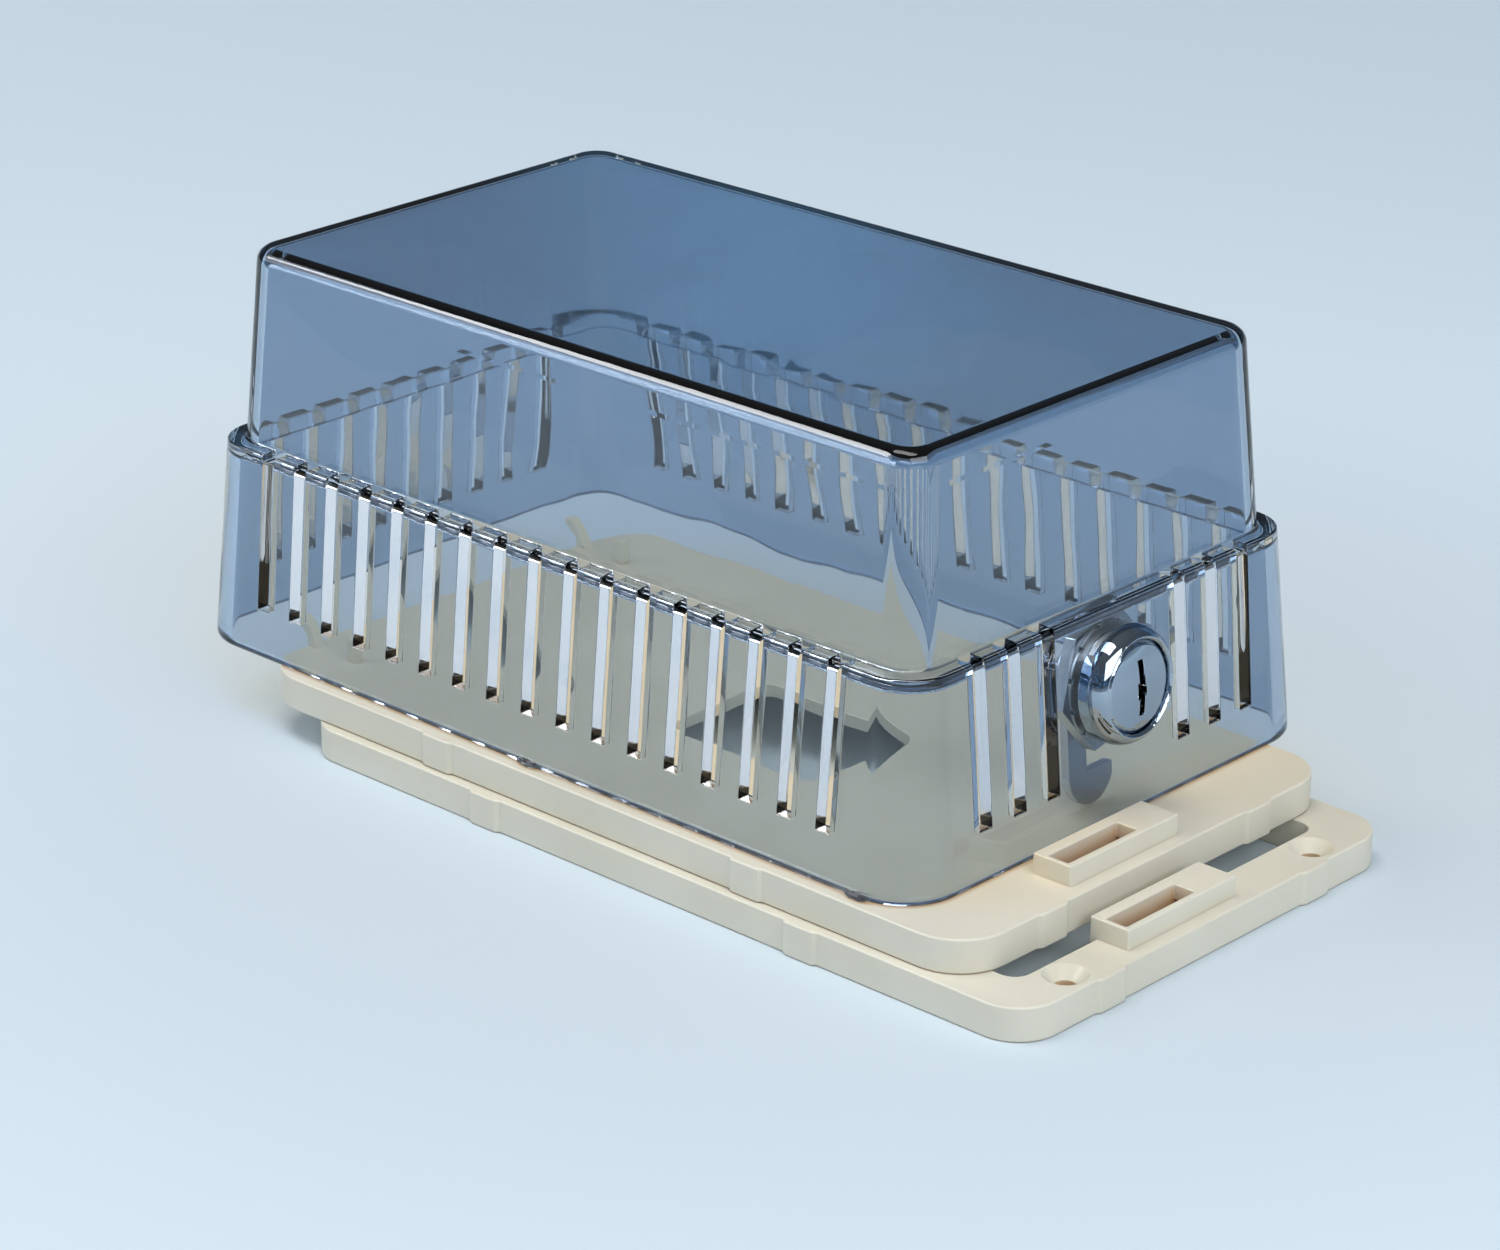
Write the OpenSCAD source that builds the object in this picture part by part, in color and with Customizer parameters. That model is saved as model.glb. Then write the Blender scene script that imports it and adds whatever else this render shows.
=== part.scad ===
// Thermostat lock box: a clear vented cover with a cam lock, a solid wall plate and an open ring base.
// The three lie fanned out, each lower plate shifted towards the lock end.
// Millimetres. X runs towards the lock end, Z away from the wall.
// The origin is the centre of the ring's four screw holes, on the ring's back.

/* [Cover] */
// Length of the cover at its open rim
cover_l = 200; // [180:1:240]
// Width of the cover at its open rim
cover_w = 121.5; // [105:0.5:150]
// Height of the whole cover
cover_h = 84; // [72:0.5:110]
// Height of the shoulder ledge above the rim
shoulder_z = 43.3; // [40:0.1:52]
// Draft of the end skirts, measured in over the skirt's height
end_draft = 3.5; // [2:0.1:5]
// Draft of the side skirts, measured in over the skirt's height
side_draft = 4.1; // [2:0.1:5]
// Width of the shoulder ledge
ledge = 3.6; // [3.2:0.1:5]
// Draft of the upper walls, measured in over their height
upper_draft = 2.6; // [1:0.1:4]
// Wall of the cover
wall = 3; // [2.4:0.1:3.2]
// Corner radius at the rim
rim_r = 13; // [9:0.5:16]
// Corner radius at the shoulder
shoulder_r = 10; // [8:0.5:12]
// Corner radius of the upper walls
upper_r = 7; // [5.5:0.5:7.5]
// Rounding of the top edge
top_round = 3.2; // [1:0.1:4]

/* [Vent slots] */
// Distance from slot to slot
slot_pitch = 9.7; // [7.5:0.1:11]
// Width of a slot
slot_w = 3.4; // [2:0.1:5]
// Height of a slot's lower end above the rim
slot_z = 10.5; // [8:0.5:14]
// Plain skirt kept between the lock's nut and the nearest slot
lock_clear = 1; // [0:0.5:6]

/* [Plates] */
// Play at each end between a plate's pads and the skirt, box closed
plate_end_play = 0.1; // [0.1:0.1:2]
// Play at each side between a plate's pads and the skirt, box closed
plate_side_play = 1.4; // [0.1:0.1:3]
// Thickness of each plate
plate_t = 7; // [6:0.5:9]
// Corner radius of the wall plate
plate_r = 11; // [8:0.5:13]
// Corner radius of the ring base
ring_r = 9; // [7:0.5:13]
// Height of the locating pads on a plate's edge
pad_out = 0.7; // [0.4:0.1:1.2]
// Length of a pad
pad_l = 9; // [6:0.5:12]
// Distance of the side pads from the middle
side_pad_at = 42; // [30:0.5:60]
// Distance of the end pads from the middle
end_pad_at = 30.5; // [25:0.5:34]
// Shift of the wall plate off the ring base, along X
plate_dx = -15.5; // [-18:0.5:-14.5]
// Shift of the wall plate off the ring base, along Y
plate_dy = 2; // [-4:0.5:4]
// Shift of the cover off the wall plate, along X
cover_dx = -19.25; // [-26:0.25:-17.5]
// Shift of the cover off the wall plate, along Y
cover_dy = 7.75; // [-8:0.25:8]

/* [Ring base] */
// Width of the ring's bars
bar_w = 10.4; // [9.5:0.1:18]
// Corner radius of the ring's opening
opening_r = 3.5; // [2:0.5:6]
// Distance of a screw hole from the ring's short edge
screw_edge = 5.5; // [5:0.1:6.5]
// Distance between the screw holes across the ring
screw_gap = 73.4; // [50:0.1:76]
// Diameter of a screw hole
screw_d = 4.2; // [3:0.1:5]
// Diameter of a countersink
sink_d = 8.8; // [6:0.1:9.4]
// Depth of a countersink
sink_h = 2.3; // [1:0.1:3]

/* [Keepers] */
// Length of a keeper block
keeper_l = 31.8; // [28:0.1:36]
// Width of a keeper block
keeper_w = 9; // [8:0.1:10]
// Height of a keeper block above its plate
keeper_h = 4.2; // [3.6:0.1:5.5]
// Distance of a keeper block from the plate's edge
keeper_edge = 3; // [2:0.1:4]
// Width of the slot that the hook cam swings through
keep_slot_w = 4.8; // [4.4:0.1:5.4]
// Distance of the slot's end, where the bridge starts, from the plate's middle line
bridge_at = 1; // [0.5:0.1:2]
// Thickness of the bridge that the cam's hook catches under
bridge_t = 3; // [2:0.1:3.2]
// Wall of the block at each end of the slot and its pocket
keep_end_wall = 1; // [0.8:0.1:1.2]
// Wall of the block between slot and plate edge
keep_side_wall = 1.4; // [1:0.1:1.8]

/* [Wall plate] */
// Length of the wiring opening
wiring_l = 40; // [25:1:60]
// Width of the wiring opening
wiring_w = 30; // [20:1:45]
// Shift of the wiring opening off the plate's middle, along X
wiring_dx = 7; // [0:0.5:15]
// Shift of the wiring opening off the plate's middle, along Y
wiring_dy = -4.5; // [-8:0.5:8]
// Corner radius of the wiring opening
wiring_r = 3; // [1:0.5:6]
// Width of a hook, which enters a vent slot
hook_w = 2.4; // [1.5:0.1:2.8]
// Height of a hook above the plate
hook_h = 6; // [4:0.5:8]
// Reach of a hook's tip beyond the plate's end
hook_out = 3; // [2:0.1:4]
// Distance of the stop posts from the plate's end
post_edge = 12.3; // [9:0.1:16]
// Height of a stop post
post_h = 5.2; // [4:0.1:8]
// Thickness of a stop post
post_t = 2.2; // [1.5:0.1:3]

/* [Lock] */
// Height of the lock's axis above the rim, on the skirt's outer face
lock_z = 27.7; // [25:0.1:28.2]
// Diameter of the lock's head
head_d = 23.4; // [21:0.1:26]
// Height of the head's straight rim
head_rim = 2; // [1:0.1:3]
// Height of the head's domed part
head_dome = 4.4; // [3:0.1:5.5]
// Diameter of the plug's face
face_d = 18; // [16.5:0.1:19]
// Diameter of the threaded barrel
barrel_d = 19; // [17.5:0.1:20]
// Distance across the barrel's two flats
barrel_flats = 16.2; // [15.6:0.1:17]
// Thread left showing past the lock nut
thread_spare = 0.9; // [0.7:0.1:2]
// Diameter of the plug
plug_d = 13; // [12.4:0.1:13.2]
// Running gap around the plug
plug_gap = 0.08; // [0.03:0.01:0.1]
// Height of the keyway
keyway_h = 10.9; // [9:0.1:11.2]
// Width of the keyway
keyway_w = 1.5; // [1:0.1:2]
// Distance across the lock nut's flats
nut_af = 24; // [21:0.1:24.5]
// Thickness of the lock nut
nut_t = 2.8; // [2.2:0.1:3.2]
// Thickness of the washer under the lock nut
washer_t = 0.7; // [0.5:0.1:0.9]
// Turn of the plug from cam down to cam level
plug_turn = 90; // [60:5:90]

/* [Wafers and cam] */
// Thickness of a wafer
wafer_t = 0.8; // [0.6:0.05:0.9]
// Distance from wafer to wafer
wafer_pitch = 1.6; // [1.3:0.1:1.7]
// Travel of a wafer out of the plug
wafer_travel = 0.5; // [0.3:0.1:0.6]
// Play around a wafer in its slot
wafer_gap = 0.075; // [0.03:0.005:0.1]
// Thickness of the cam
cam_t = 2; // [1.5:0.1:2.5]
// Play between the cam's hook and the bridge above it, box closed
hook_play = 0.4; // [0.2:0.1:1]
// Clearance under the cam's hook
hook_clear = 0.9; // [0.5:0.1:1.5]
// Play between the cam's arm and the bridge beside it, box closed
arm_play = 0.3; // [0.2:0.1:1]
// Width of the cam's arm
cam_arm_w = 5.3; // [4:0.1:5.3]
// Side of the square tail that carries the cam
tail_w = 6.4; // [5:0.1:7]
// Diameter of the cam screw's thread
cam_screw_d = 3.8; // [3:0.1:4]
// Distance across the cam screw's head
cam_screw_af = 8; // [7:0.1:10]

/* [Hidden] */
$fn = 64;
eps = 0.005;
// Facets of a rounding inside a hull
hull_fn = 32;

// Places of the three big pieces
plate_z = plate_t;
rim_z = 2 * plate_t;
cover_x = plate_dx + cover_dx;
cover_y = plate_dy + cover_dy;

// Cover sizes at the shoulder, at the foot of the upper walls and at the top
shoulder_l = cover_l - 2 * end_draft;
shoulder_w = cover_w - 2 * side_draft;
foot_l = shoulder_l - 2 * ledge;
foot_w = shoulder_w - 2 * ledge;
top_l = foot_l - 2 * upper_draft;
top_w = foot_w - 2 * upper_draft;

// The lock stands square to the end skirt
lock_tilt = atan(end_draft / shoulder_z);
lock_x = cover_l / 2 - end_draft * lock_z / shoulder_z;
// Thickness of the drafted skirt, measured level
wall_run = wall / cos(lock_tilt);

// The plates fit inside the skirt, pads and all, when the box is closed
plate_l = cover_l - 2 * (end_draft * plate_t / shoulder_z + wall_run + pad_out + plate_end_play);
plate_w = cover_w - 2 * (side_draft * plate_t / shoulder_z + wall_run + pad_out + plate_side_play);

// Slots to each side of the middle one, as many as the straight walls hold, and those left out at the lock
side_slots = floor((shoulder_l / 2 - shoulder_r - slot_w / 2) / slot_pitch);
end_slots = floor((shoulder_w / 2 - shoulder_r - slot_w / 2) / slot_pitch);
nut_corner_r = nut_af / 2 / cos(30);
lock_gap_slots = floor((nut_corner_r + lock_clear + slot_w / 2) / slot_pitch);

// Stations along the lock's axis, positive outwards, 0 on the skirt's outer face
seat_x = 3.2;
face_edge_x = 5;
face_rise = 0.7;
washer_x = -wall - washer_t;
nut_x = washer_x - nut_t;
barrel_x = nut_x - thread_spare;
run_gap = 0.1;
stop_t = 1.1;
stop_x = barrel_x - run_gap - stop_t;
cam_x = stop_x - cam_t;
tail_x = cam_x + 0.1;
cam_washer_t = 0.6;
cam_washer_x = cam_x - cam_washer_t;
cam_head_t = 2.4;
first_wafer_x = 2;
last_wafer_x = first_wafer_x - 4 * wafer_pitch;
keyway_x = last_wafer_x - wafer_t / 2 - 0.8;
screw_bore_x = keyway_x - 1;

// Radii in the lock
plug_r = plug_d / 2;
bore_r = plug_r + plug_gap;
face_r = face_d / 2;
face_bore_r = face_r + 0.15;
barrel_r = barrel_d / 2;
hole_gap = 0.2;
stop_rim_r = 7;
stop_r = stop_rim_r - 0.2;
boss_r = 7.4;
stop_tab_half = 15;
stop_play = 0.5;
window_mid = 90;

// Wafer outline in the plug
wafer_half = 3.45;
wafer_r = plug_r - 0.1;
ear_y = 4.9;
ear_low = -0.9;
ear_high = 0.7;
pocket_y = 5.1;
pocket_low = -3.4;
groove_x0 = last_wafer_x - wafer_t / 2 - 0.6;
groove_x1 = first_wafer_x + wafer_t / 2 + 0.3;
groove_half = wafer_half + 0.35;
groove_r = plug_r + wafer_travel + 0.2;
spring_r = 0.42;
spring_y = 4.3;

// Cam sizes, from the axis down. With the box closed the hook's flat top lies just under the bridge.
hook_flat = 0.3;
swing_play = 0.2;
axis_h = lock_z + (cam_x + cam_t / 2) * sin(lock_tilt);
bridge_h = plate_t + keeper_h - bridge_t;
cam_hook_r = (bridge_h - hook_play - hook_clear) / cos(lock_tilt) - hook_flat;
hook_drop = (axis_h - bridge_h + hook_play) / cos(lock_tilt) + hook_flat;
arm_y = -bridge_at - arm_play - cam_arm_w;
// Where the swinging hook passes the keeper block's top, out from the middle line
swing_r = hook_drop + cam_hook_r;
block_drop = (axis_h - plate_t - keeper_h) / cos(lock_tilt);
swing_out = sqrt(swing_r * swing_r - block_drop * block_drop);

// Keeper places, measured from a plate's middle
keeper_x1 = plate_l / 2 - keeper_edge;
keeper_x0 = keeper_x1 - keeper_w;
keep_slot_x1 = keeper_x1 - keep_side_wall;
keep_slot_y0 = -swing_out - swing_play;
keep_slot_l = -bridge_at - keep_slot_y0;
keeper_y0 = keep_slot_y0 - keep_end_wall;
hook_y = end_slots * slot_pitch;
screw_x = plate_l / 2 - screw_edge;
screw_y = screw_gap / 2;

// Rounded rectangle with true arcs
module round_rect(l, w, r) {
    square([l - 2 * r, w], center = true);
    square([l, w - 2 * r], center = true);
    for (x = [-1, 1], y = [-1, 1])
        translate([x * (l / 2 - r), y * (w / 2 - r)]) circle(r);
}

// Thin slab of a rounded rectangle, as one level of a hull
module level(l, w, r, z) {
    translate([0, 0, z]) linear_extrude(eps) round_rect(l, w, r, $fn = hull_fn);
}

// Draws a shape given in Y and Z, with its thickness along X
module across(x) {
    translate([x, 0, 0]) rotate([90, 0, 90]) children();
}

// Turns a shape's Z axis to point along X
module along(x) {
    translate([x, 0, 0]) rotate([0, 90, 0]) children();
}

module at_plate() {
    translate([plate_dx, plate_dy, plate_z]) children();
}

module at_cover() {
    translate([cover_x, cover_y, rim_z]) children();
}

module at_lock() {
    at_cover() translate([lock_x, 0, lock_z]) rotate([0, -lock_tilt, 0]) children();
}

// One level of the skirt at height z, drawn in from its outside by the same run all round
module skirt_level(z, run) {
    part = max(z, 0) / shoulder_z;
    level(cover_l - 2 * (end_draft * part + run), cover_w - 2 * (side_draft * part + run),
        rim_r - (rim_r - shoulder_r) * part - run, z);
}

module skirt_outside() {
    hull() {
        skirt_level(0, 0);
        skirt_level(shoulder_z - eps, 0);
    }
}

module skirt_inside() {
    hull() {
        skirt_level(-eps, wall_run);
        skirt_level(shoulder_z - wall, wall_run);
    }
}

module upper_outside() {
    hull() {
        level(foot_l, foot_w, upper_r, shoulder_z - 1);
        for (a = [0:22.5:90]) {
            inset = top_round * (1 - cos(a));
            level(top_l - 2 * inset, top_w - 2 * inset, upper_r - inset,
                cover_h - top_round * (1 - sin(a)) - eps);
        }
    }
}

module upper_inside() {
    hull() {
        level(foot_l - 2 * wall, foot_w - 2 * wall, upper_r - wall, shoulder_z - wall - 1);
        level(top_l - 2 * wall, top_w - 2 * wall, upper_r - wall, cover_h - wall - eps);
    }
}

// One vent slot on the +Y side, open through the skirt and the ledge's edge
module side_slot(half_outer, half_foot) {
    translate([-slot_w / 2, half_foot, slot_z])
        cube([slot_w, half_outer - half_foot + 1, shoulder_z - slot_z + 1]);
}

module vent_slots() {
    for (i = [-side_slots:side_slots], side = [0, 180])
        rotate(side) translate([i * slot_pitch, 0, 0]) side_slot(cover_w / 2, foot_w / 2);
    for (i = [-end_slots:end_slots]) {
        translate([0, i * slot_pitch, 0]) rotate(90) side_slot(cover_l / 2, foot_l / 2);
        if (abs(i) > lock_gap_slots)
            translate([0, i * slot_pitch, 0]) rotate(-90) side_slot(cover_l / 2, foot_l / 2);
    }
}

// Round bar with two flats that face +Y and -Y
module double_d(r, flats, x0, x1) {
    intersection() {
        along(x0) cylinder(r = r, h = x1 - x0);
        translate([x0, -flats / 2, -r]) cube([x1 - x0, flats, 2 * r]);
    }
}

module cover() {
    color([0.62, 0.74, 0.86, 0.45]) difference() {
        at_cover() {
            skirt_outside();
            upper_outside();
        }
        at_cover() {
            skirt_inside();
            upper_inside();
            vent_slots();
        }
        at_lock() double_d(barrel_r + hole_gap, barrel_flats + 2 * hole_gap, -2 * wall, wall);
    }
}

// Plate outline with its eight locating pads
module plate_outline(corner_r) {
    round_rect(plate_l, plate_w, corner_r);
    for (side = [-1, 1]) {
        translate([side * side_pad_at, 0])
            round_rect(pad_l, plate_w + 2 * pad_out, pad_out / 2);
        translate([0, side * end_pad_at])
            round_rect(plate_l + 2 * pad_out, pad_l, pad_out / 2);
    }
}

module keeper_block(z0) {
    translate([keeper_x0, keeper_y0, z0])
        cube([keeper_w, keeper_l, plate_t + keeper_h - z0]);
}

// Slot through the block, and the pocket behind the bridge at the slot's far end
module keeper_slot() {
    translate([keep_slot_x1 - keep_slot_w, keep_slot_y0, -1]) {
        cube([keep_slot_w, keep_slot_l, plate_t + keeper_h + 2]);
        cube([keep_slot_w, keeper_l - 2 * keep_end_wall, plate_t + keeper_h - bridge_t + 1]);
    }
}

// Hook that leans out of the plate's far end, drawn in X and Z
module hook(y) {
    translate([-plate_l / 2, y + hook_w / 2, plate_t]) rotate([90, 0, 0]) linear_extrude(hook_w)
        polygon([[0, -1], [3, -1], [3, 0], [1, hook_h - 2], [2 - hook_out, hook_h],
            [-hook_out, hook_h], [-hook_out, hook_h - 1.5], [0, hook_h - 4]]);
}

module wall_plate() {
    color([0.86, 0.84, 0.76]) at_plate() difference() {
        union() {
            linear_extrude(plate_t) plate_outline(plate_r);
            keeper_block(plate_t - 1);
            for (side = [-1, 1]) {
                hook(side * hook_y);
                translate([-plate_l / 2 + post_edge, side * hook_y - hook_w / 2, plate_t - 1])
                    cube([post_t, hook_w, post_h + 1]);
            }
        }
        keeper_slot();
        translate([wiring_dx, wiring_dy, -1])
            linear_extrude(plate_t + 2) round_rect(wiring_l, wiring_w, wiring_r);
    }
}

module ring_base() {
    color([0.86, 0.84, 0.76]) difference() {
        union() {
            difference() {
                linear_extrude(plate_t) plate_outline(ring_r);
                translate([0, 0, -1]) linear_extrude(plate_t + 2)
                    round_rect(plate_l - 2 * bar_w, plate_w - 2 * bar_w, opening_r);
            }
            keeper_block(0);
        }
        keeper_slot();
        for (x = [-screw_x, screw_x], y = [-screw_y, screw_y])
            translate([x, y, 0]) {
                translate([0, 0, -1]) cylinder(d = screw_d, h = plate_t + 2);
                translate([0, 0, plate_t - sink_h]) cylinder(d1 = screw_d, d2 = sink_d, h = sink_h + eps);
            }
    }
}

// Cross-section of the lock's head, radius along X and height along Y
module head_section() {
    difference() {
        union() {
            square([head_d / 2, head_rim]);
            intersection() {
                translate([head_d / 2 - head_dome, head_rim]) circle(head_dome);
                translate([0, head_rim]) square(head_d);
            }
        }
        translate([-1, seat_x]) square([face_bore_r + 1, head_d]);
    }
}

// Raised rim on the barrel's end, with a gap that the stop washer's tab turns in
module stop_rim() {
    sweep = plug_turn + 2 * (stop_tab_half + stop_play);
    difference() {
        double_d(barrel_r - 0.2, barrel_flats, barrel_x - stop_t, barrel_x + 0.5);
        across(barrel_x - stop_t - 1) linear_extrude(stop_t + 1)
            polygon(concat([[0, 0]], [for (a = [window_mid - sweep / 2, window_mid, window_mid + sweep / 2])
                2 * barrel_d * [cos(a), sin(a)]]));
    }
}

module lock_housing() {
    color([0.8, 0.81, 0.83]) at_lock() difference() {
        union() {
            along(0) rotate_extrude() head_section();
            double_d(barrel_r, barrel_flats, barrel_x, 1);
            stop_rim();
        }
        along(barrel_x - 1) cylinder(r = bore_r, h = head_d - barrel_x);
        along(barrel_x - stop_t - 1) cylinder(r = stop_rim_r, h = stop_t + 1);
        for (turn = [0, 90])
            rotate([turn, 0, 0]) translate([groove_x0, -groove_half, -groove_r])
                cube([groove_x1 - groove_x0, 2 * groove_half, 2 * groove_r]);
    }
}

module lock_nut() {
    color([0.75, 0.76, 0.78]) at_lock() difference() {
        rotate([30, 0, 0]) along(nut_x) cylinder(r = nut_corner_r, h = nut_t, $fn = 6);
        along(nut_x - 1) cylinder(r = barrel_r + 0.1, h = nut_t + 2);
    }
}

module nut_washer() {
    teeth = 12;
    outer_r = nut_af / 2;
    color([0.7, 0.7, 0.72]) at_lock() difference() {
        along(washer_x) cylinder(r = outer_r, h = washer_t);
        along(washer_x - 1) cylinder(r = barrel_r + 0.1, h = washer_t + 2);
        for (i = [0:teeth - 1])
            rotate([(i + 0.5) * 360 / teeth, 0, 0]) translate([washer_x - 1, outer_r - 0.7, -0.5])
                cube([washer_t + 2, 2, 1]);
    }
}

// Keyway outline in Y and Z: a tall slot whose sides step in and out
module keyway_outline() {
    square([keyway_w, keyway_h], center = true);
    translate([-0.2, -1.6]) square([keyway_w / 2 + 0.75, 1.7]);
    translate([-0.3, 0.2]) square([keyway_w / 2 + 0.55, 2.1]);
    translate([-keyway_w / 2 - 0.5, -2.1]) square([keyway_w / 2 + 0.5, 3.2]);
}

module wafer_slot(i) {
    x = first_wafer_x - i * wafer_pitch - wafer_t / 2 - wafer_gap;
    t = wafer_t + 2 * wafer_gap;
    half = wafer_half + wafer_gap;
    translate([x, -half, -plug_d]) cube([t, 2 * half, 2 * plug_d]);
    translate([x, 0, pocket_low]) cube([t, pocket_y, ear_high + wafer_travel + 0.2 - pocket_low]);
}

// Cross-section of the plug, radius along X and height along Y, with a slightly domed face
module plug_section() {
    dome_r = (face_r * face_r + face_rise * face_rise) / (2 * face_rise);
    dome_half = asin(face_r / dome_r);
    dome_y = face_edge_x + face_rise - dome_r;
    polygon(concat(
        [[0, barrel_x], [plug_r, barrel_x], [plug_r, seat_x + run_gap], [face_r, seat_x + run_gap]],
        [for (i = [8:-1:0]) [dome_r * sin(dome_half * i / 8), dome_y + dome_r * cos(dome_half * i / 8)]]));
}

module lock_plug() {
    color([0.82, 0.83, 0.85]) at_lock() difference() {
        union() {
            along(0) rotate_extrude() plug_section();
            translate([tail_x, -tail_w / 2, -tail_w / 2]) cube([barrel_x - tail_x + 1, tail_w, tail_w]);
        }
        across(keyway_x) linear_extrude(2 * head_d) keyway_outline();
        for (i = [0:4]) wafer_slot(i);
        along(tail_x - 1) cylinder(d = cam_screw_d + 0.2, h = screw_bore_x - tail_x + 1);
    }
}

// One wafer, 0 nearest the face. Its key window sits at one of three heights.
module wafer(i) {
    window = [2.9, 7.6];
    step = 0.4;
    x = first_wafer_x - i * wafer_pitch - wafer_t / 2;
    color([0.78, 0.66, 0.36]) at_lock() across(x) linear_extrude(wafer_t) difference() {
        union() {
            intersection() {
                circle(wafer_r);
                square([2 * wafer_half, 2 * plug_d], center = true);
            }
            translate([0, ear_low]) square([ear_y, ear_high - ear_low]);
        }
        translate([0, step * (i * 2 % 3 - 1)]) square(window, center = true);
    }
}

// Small spring under a wafer's ear, as a plain solid
module wafer_spring(i) {
    color([0.6, 0.6, 0.62]) at_lock()
        translate([first_wafer_x - i * wafer_pitch, spring_y, pocket_low + 0.05])
            cylinder(r = spring_r, h = ear_low - pocket_low - 0.1, $fn = 24);
}

module tail_hole(x, t) {
    hole = tail_w + 0.2;
    translate([x - 1, -hole / 2, -hole / 2]) cube([t + 2, hole, hole]);
}

module stop_washer() {
    tab_at = window_mid + plug_turn / 2;
    color([0.72, 0.73, 0.75]) at_lock() difference() {
        union() {
            along(stop_x) cylinder(r = stop_r, h = stop_t);
            intersection() {
                along(stop_x) cylinder(r = barrel_r - 0.4, h = stop_t);
                across(stop_x) linear_extrude(stop_t)
                    polygon([[0, 0], 2 * barrel_d * [cos(tab_at - stop_tab_half), sin(tab_at - stop_tab_half)],
                        2 * barrel_d * [cos(tab_at + stop_tab_half), sin(tab_at + stop_tab_half)]]);
            }
        }
        tail_hole(stop_x, stop_t);
    }
}

// Hook cam: an arm that hangs down beside the middle line and a hook that points to +Y
module cam() {
    nose = 0.4;
    color([0.68, 0.69, 0.71]) at_lock() difference() {
        across(cam_x) linear_extrude(cam_t) {
            circle(boss_r);
            translate([arm_y, -hook_drop]) square([cam_arm_w, hook_drop]);
            translate([0, -hook_drop]) intersection() {
                circle(cam_hook_r);
                translate([-cam_hook_r, -2 * cam_hook_r])
                    square([2 * cam_hook_r - nose, 2 * cam_hook_r + hook_flat]);
            }
        }
        tail_hole(cam_x, cam_t);
    }
}

module cam_washer() {
    color([0.72, 0.72, 0.74]) at_lock() difference() {
        along(cam_washer_x) cylinder(r = cam_screw_af / 2 + 1, h = cam_washer_t);
        along(cam_washer_x - 1) cylinder(d = cam_screw_d + 0.3, h = cam_washer_t + 2);
    }
}

module cam_screw() {
    color([0.66, 0.67, 0.7]) at_lock() {
        along(cam_washer_x - cam_head_t)
            cylinder(d = cam_screw_af / cos(30), h = cam_head_t, $fn = 6);
        along(cam_washer_x - 0.5)
            cylinder(d = cam_screw_d, h = screw_bore_x - 0.3 - cam_washer_x + 0.5);
    }
}

cover();
wall_plate();
ring_base();
lock_housing();
lock_nut();
nut_washer();
lock_plug();
stop_washer();
cam();
cam_washer();
cam_screw();
wafer(0);  // wafer_1
wafer(1);  // wafer_2
wafer(2);  // wafer_3
wafer(3);  // wafer_4
wafer(4);  // wafer_5
wafer_spring(0);  // wafer_spring_1
wafer_spring(1);  // wafer_spring_2
wafer_spring(2);  // wafer_spring_3
wafer_spring(3);  // wafer_spring_4
wafer_spring(4);  // wafer_spring_5
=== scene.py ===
# %% [markdown]
# # A clear lock box for a wall thermostat
# A lock box keeps hands off a thermostat. Two cream plates go on the wall, a clear cover
# drops over them, and a cam lock in the cover's end hooks under a keeper on the plates.
# The shapes and the motion come from the CAD frame. This lesson gives each piece its looks:
# soft edges, moulded plastic, polished metal, and glass-clear walls that bend what is behind.

import math

import bmesh
import bpy
from mathutils import Matrix, Vector


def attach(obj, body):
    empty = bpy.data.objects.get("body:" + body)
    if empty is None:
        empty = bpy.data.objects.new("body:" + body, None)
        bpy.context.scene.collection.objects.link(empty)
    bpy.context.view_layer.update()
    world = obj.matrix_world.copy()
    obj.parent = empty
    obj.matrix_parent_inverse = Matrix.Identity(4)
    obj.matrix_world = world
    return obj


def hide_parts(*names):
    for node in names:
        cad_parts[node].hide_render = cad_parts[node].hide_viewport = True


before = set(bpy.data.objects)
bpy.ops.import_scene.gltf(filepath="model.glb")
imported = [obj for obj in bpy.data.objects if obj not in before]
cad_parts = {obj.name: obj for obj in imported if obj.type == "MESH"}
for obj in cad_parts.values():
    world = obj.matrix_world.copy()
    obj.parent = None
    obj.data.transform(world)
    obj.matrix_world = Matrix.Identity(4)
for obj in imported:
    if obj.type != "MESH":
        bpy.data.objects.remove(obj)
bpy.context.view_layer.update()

# %% [markdown]
# ## The camera
# A product photo is usually taken from a step back with a long lens, so that edges stay
# nearly parallel. Here the camera stands 0.9 m away, 43 degrees round towards the lock's
# end and 22 degrees up, with a lens of about 107 mm. It is placed first, because every
# later choice is judged through it.

# %% Place the camera
MM = 0.001


def look_from(place, target, lens):
    """Makes the scene's camera at place, looking at target, both in millimetres."""
    data = bpy.data.cameras.new("product_camera")
    data.lens, data.sensor_width, data.sensor_fit = lens, 36, "HORIZONTAL"
    data.clip_start, data.clip_end = 0.01, 50
    camera = bpy.data.objects.new("product_camera", data)
    bpy.context.scene.collection.objects.link(camera)
    away = (Vector(target) - Vector(place)) * MM
    camera.matrix_world = (
        Matrix.Translation(Vector(place) * MM)
        @ away.to_track_quat("-Z", "Y").to_matrix().to_4x4()
    )
    bpy.context.scene.camera = camera
    return away.length


CAMERA_AT, CAMERA_AIM, LENS = (537.95, -593.95, 368.6), (-29.88, 7.93, 27.42), 106.53
camera_distance = look_from(CAMERA_AT, CAMERA_AIM, LENS)
print("camera distance in metres:", round(camera_distance, 3))

# %% [markdown]
# ## Small helpers for node trees
# Materials and Geometry Nodes are both graphs of nodes. Written by hand they take many
# lines, so two helpers carry the work: one feeds a socket with a value or with another
# socket, and one adds a node with its settings and inputs in a single call. Three more
# are short names for sums, for masks that rise over a given span, and for mixed colours.


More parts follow.
